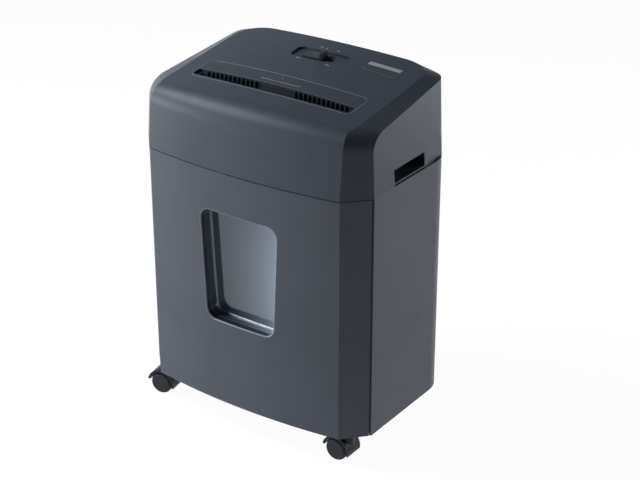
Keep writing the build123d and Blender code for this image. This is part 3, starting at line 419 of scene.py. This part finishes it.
def top_height(x, y):
    """Height of the head's top at a place, all in millimetres."""
    return TOP_Z + TOP_SLOPE * y - CROWN * (x / CROWN_X) ** 2


# The funnel's faces under the bezel's top face get a darker copy of the shell grey: painted shade in the
# slot
guide = COPIES["throat_guide"].data
guide.materials.append(FUNNEL_SHADE)
for face in guide.polygons:
    middle = face.center / MM
    sunk = middle.z < top_height(middle.x, middle.y) - FUNNEL_STARTS
    if face.normal.z < LOOKS_UP or sunk:
        face.material_index = 1


def top_sheet():
    """A helper sheet that lies on the head's crowned top, for draping; it is removed again."""
    bpy.ops.object.select_all(action="DESELECT")
    bpy.ops.mesh.primitive_grid_add(x_subdivisions=56, y_subdivisions=40, size=2.0)
    sheet = bpy.context.object
    for point in sheet.data.vertices:
        x, y = point.co.x * TOP_HALF_X, point.co.y * TOP_HALF_Y
        point.co = (x * MM, y * MM, top_height(x, y) * MM)
    sheet.data.update()
    return sheet


def stroke(start, end, width):
    """A flat strip between two points of the top, cut along its length to follow the crown."""
    (x0, y0), (x1, y1) = start, end
    length = math.hypot(x1 - x0, y1 - y0)
    bpy.ops.object.select_all(action="DESELECT")
    middle = ((x0 + x1) / 2 * MM, (y0 + y1) / 2 * MM, LAID_FROM)
    bpy.ops.mesh.primitive_plane_add(size=1.0, location=middle)
    piece = bpy.context.object
    piece.rotation_euler = (0, 0, math.atan2(y1 - y0, x1 - x0))
    piece.scale = ((length + width) * MM, width * MM, 1)
    bpy.ops.object.transform_apply(location=True, rotation=True, scale=True)
    edit(piece)
    bpy.ops.mesh.subdivide(number_cuts=max(1, int(length / LINE_STEP)))
    leave()
    return piece


def joined(pieces):
    """Several pieces made one."""
    select_only(pieces[0])
    for piece in pieces:
        piece.select_set(True)
    if len(pieces) > 1:
        bpy.ops.object.join()
    return pieces[0]


def drape(piece, thick):
    """Lay a flat piece on the head's top, sunk a little into it, and give it thickness."""
    select_only(piece)
    fall = piece.modifiers.new("fall", "SHRINKWRAP")
    fall.target = sheet
    fall.wrap_method = "PROJECT"
    fall.use_project_z = True
    fall.use_negative_direction = True
    fall.use_positive_direction = True
    bpy.ops.object.modifier_apply(modifier="fall")
    edit(piece)
    bpy.ops.transform.translate(value=(0, 0, MARK_SINK * MM))
    bpy.ops.mesh.extrude_region_move(TRANSFORM_OT_translate={"value": (0, 0, thick * MM)})
    bpy.ops.mesh.select_all(action="SELECT")
    bpy.ops.mesh.normals_make_consistent(inside=False)
    leave()


def line_work(name, runs, width, finish):
    """Fine raised lines on the head's top: printed marks, and lines painted as edge highlights."""
    piece = joined([stroke(start, end, width) for start, end in runs])
    drape(piece, MARK_THICK)
    return settle(piece, name, "cabinet", finish)


def rim_line(name, x0, x1, y0, y1, bow, width, finish):
    """A fine raised line round a rounded outline on the head's top, its front side bowed."""
    bpy.ops.object.select_all(action="DESELECT")
    middle = (x0 + x1) / 2 * MM
    bpy.ops.mesh.primitive_plane_add(size=1.0, location=(middle, (y0 + y1) / 2 * MM, LAID_FROM))
    piece = bpy.context.object
    piece.scale = ((x1 - x0) * MM, (y1 - y0) * MM, 1)
    bpy.ops.object.transform_apply(location=True, rotation=True, scale=True)
    edit(piece)
    bpy.ops.mesh.bevel(offset=SEAM_CORNER * MM, segments=SEAM_CORNER_STEPS, affect="VERTICES")
    leave()
    for edge in piece.data.edges:
        ends = [piece.data.vertices[i].co for i in edge.vertices]
        edge.select = (ends[0] - ends[1]).length > SEAM_LONG_EDGE * MM
    for face in piece.data.polygons:
        face.select = False
    bpy.ops.object.mode_set(mode="EDIT")
    bpy.ops.mesh.select_mode(type="EDGE")
    bpy.ops.mesh.subdivide(number_cuts=SEAM_CUTS)
    bpy.ops.mesh.select_mode(type="FACE")
    bpy.ops.mesh.select_all(action="SELECT")
    bpy.ops.mesh.inset(thickness=width * MM)
    bpy.ops.mesh.delete(type="FACE")
    bpy.ops.mesh.select_mode(type="VERT")
    leave()
    for point in piece.data.vertices:
        in_front = point.co.y < (y0 + SEAM_REACH) * MM
        point.select = in_front and abs(point.co.x - middle) < SEAM_REACH * MM
    bpy.ops.object.mode_set(mode="EDIT")
    bpy.ops.transform.translate(
        value=(0, -bow * MM, 0), use_proportional_edit=True, proportional_edit_falloff="SPHERE",
        proportional_size=(x1 - x0) / 2 * MM, use_proportional_connected=True)
    leave()
    drape(piece, SEAM_THICK)
    return settle(piece, name, "cabinet", finish)


sheet = top_sheet()
# Lines on the top, each from X, Y to X, Y, with their widths, in millimetres
CARD_GUIDE = [((-26.2, -18.4), (28.3, -18.7)), ((-26.2, -18.4), (-26.2, -16.2)),
              ((28.3, -18.7), (28.3, -16.5)), ((-2.5, -10.4), (-2.5, -6.8))]
SETTING_MARKS = [((-21.5, 44.6), (-16.5, 44.2)), ((-11.4, 81.2), (-7.4, 81.0)),
                 ((-1.4, 78.4), (-1.4, 82.2)), ((13.3, 80.9), (17.3, 80.7)),
                 ((21.1, 43.3), (27.1, 42.9))]
STRIP_FRAME = [((65.7, 68.4), (65.1, 58.0)), ((65.1, 58.0), (110.0, 54.4)), ((110.0, 54.4), (111.2, 69.4))]
# The line along the slot's rear edge stands for that edge's highlight: painted highlight
SLOT_EDGE_HIGHLIGHT = [((-111.0, -26.2), (111.0, -26.2))]
CARD_LINE, MARK_LINE, TRIM_LINE = 0.55, 0.9, 0.5
SEAM_HALF, SEAM_FRONT, SEAM_REAR, SEAM_BOW, SEAM_WIDTH = 116.6, -43.6, -1.4, 4.0, 0.6
line_work("card_guide", CARD_GUIDE, CARD_LINE, WHITE_PRINT)
line_work("setting_marks", SETTING_MARKS, MARK_LINE, WHITE_PRINT)
line_work("strip_frame", STRIP_FRAME, TRIM_LINE, GREY_PRINT_AND_HIGHLIGHT)
line_work("slot_edge_highlight", SLOT_EDGE_HIGHLIGHT, TRIM_LINE, GREY_PRINT_AND_HIGHLIGHT)
# A pale bead round the bezel's seam: painted highlight along the seam's edge
rim_line("bezel_seam_highlight", -SEAM_HALF, SEAM_HALF, SEAM_FRONT, SEAM_REAR, SEAM_BOW, SEAM_WIDTH, BEAD_HIGHLIGHT)
bpy.data.objects.remove(sheet)


def white_for_eyes(tree):
    """1 where the camera, a reflection or a see-through ray looks, 0 where light is gathered."""
    path = node(tree, "ShaderNodeLightPath")
    first = node(tree, "ShaderNodeMath", operation="MAXIMUM")
    tree.links.new(path.outputs["Is Camera Ray"], first.inputs[0])
    tree.links.new(path.outputs["Is Glossy Ray"], first.inputs[1])
    both = node(tree, "ShaderNodeMath", operation="MAXIMUM")
    tree.links.new(first.outputs[0], both.inputs[0])
    tree.links.new(path.outputs["Is Transmission Ray"], both.inputs[1])
    return both.outputs[0]


# The studio: heights on the sky where the white sweep ends and the dark above it starts, the fill's
# strength, the floor, and the lamps, each with its place and size in metres and its power in watts
SWEEP_LOW, SWEEP_TOP = 0.17, 0.42
SKY_OVERHEAD = 0.05
FILL = 0.05
FLOOR_SIZE, FLOOR_GLOW, FLOOR_GLOW_SHARE = 12.0, 1.06, 0.9
AIM = (0.0, -0.02, 0.25)
LAMPS = {
    "key_box": ((-1.025, -0.498, 1.381), 0.6, 14.8),
    "low_box": ((-1.436, -0.690, 0.473), 0.6, 16.5),
    "rear_box": ((1.013, 1.187, 0.528), 0.8, 9.7),
}

# The photograph's camera: place and direction, lens and sensor in millimetres
CAMERA_PLACE = (1.1080, -1.4998, 1.1264)
CAMERA_LOOK = (-0.5209, 0.7349, -0.4343)
LENS, SENSOR = 93.86, 36.0


def studio_world():
    """White sweep that darkens overhead to the eye, a dim grey fill for the light."""
    world = bpy.data.worlds.new("studio")
    bpy.context.scene.world = world
    world.use_nodes = True
    tree = world.node_tree
    tree.nodes.clear()
    fill = node(tree, "ShaderNodeBackground", Color=(0.92, 0.96, 1.0, 1), Strength=FILL)
    seen = node(tree, "ShaderNodeBackground", Color=(1, 1, 1, 1))
    coords = node(tree, "ShaderNodeTexCoord")
    parts = node(tree, "ShaderNodeSeparateXYZ")
    tree.links.new(coords.outputs["Generated"], parts.inputs[0])
    sky = spread(tree, parts.outputs["Z"], 1.0, SKY_OVERHEAD, SWEEP_LOW, SWEEP_TOP)
    tree.links.new(sky, seen.inputs["Strength"])
    mix = node(tree, "ShaderNodeMixShader")
    out = node(tree, "ShaderNodeOutputWorld")
    tree.links.new(white_for_eyes(tree), mix.inputs[0])
    tree.links.new(fill.outputs[0], mix.inputs[1])
    tree.links.new(seen.outputs[0], mix.inputs[2])
    tree.links.new(mix.outputs[0], out.inputs[0])


def studio_floor():
    """Pale floor that keeps a faint shadow of the object."""
    bpy.ops.object.select_all(action="DESELECT")
    bpy.ops.mesh.primitive_plane_add(size=FLOOR_SIZE)
    floor = bpy.context.object
    floor.name = "studio_floor"
    finish, tree, shader = blank_finish("studio_floor")
    tree.nodes.remove(shader)
    lit = node(tree, "ShaderNodeBsdfDiffuse", Color=(0.86, 0.87, 0.88, 1))
    glow = node(tree, "ShaderNodeEmission", Color=(1, 1, 1, 1), Strength=FLOOR_GLOW)
    soft = node(tree, "ShaderNodeMixShader")
    soft.inputs[0].default_value = FLOOR_GLOW_SHARE
    pick = node(tree, "ShaderNodeMixShader")
    out = tree.nodes["Material Output"]
    tree.links.new(lit.outputs[0], soft.inputs[1])
    tree.links.new(glow.outputs[0], soft.inputs[2])
    tree.links.new(white_for_eyes(tree), pick.inputs[0])
    tree.links.new(lit.outputs[0], pick.inputs[1])
    tree.links.new(soft.outputs[0], pick.inputs[2])
    tree.links.new(pick.outputs[0], out.inputs[0])
    floor.data.materials.append(finish)


def softbox(name, place, size, power):
    """A square area lamp that faces the object."""
    lamp = bpy.data.lights.new(name, "AREA")
    lamp.shape = "RECTANGLE"
    lamp.size, lamp.size_y = size, size
    lamp.energy = power
    holder = bpy.data.objects.new(name, lamp)
    bpy.context.scene.collection.objects.link(holder)
    holder.location = place
    holder.rotation_euler = (Vector(AIM) - Vector(place)).to_track_quat("-Z", "Y").to_euler()


def photo_camera():
    """Camera at the photograph's place, seen from the right front and above."""
    lens = bpy.data.cameras.new("photo_camera")
    lens.lens = LENS
    lens.sensor_width = SENSOR
    lens.sensor_fit = "HORIZONTAL"
    holder = bpy.data.objects.new("photo_camera", lens)
    bpy.context.scene.collection.objects.link(holder)
    holder.location = CAMERA_PLACE
    holder.rotation_euler = Vector(CAMERA_LOOK).to_track_quat("-Z", "Y").to_euler()
    bpy.context.scene.camera = holder


studio_world()
studio_floor()
for name, (place, size, power) in LAMPS.items():
    softbox(name, place, size, power)
photo_camera()

bpy.context.scene.view_settings.view_transform = "Standard"
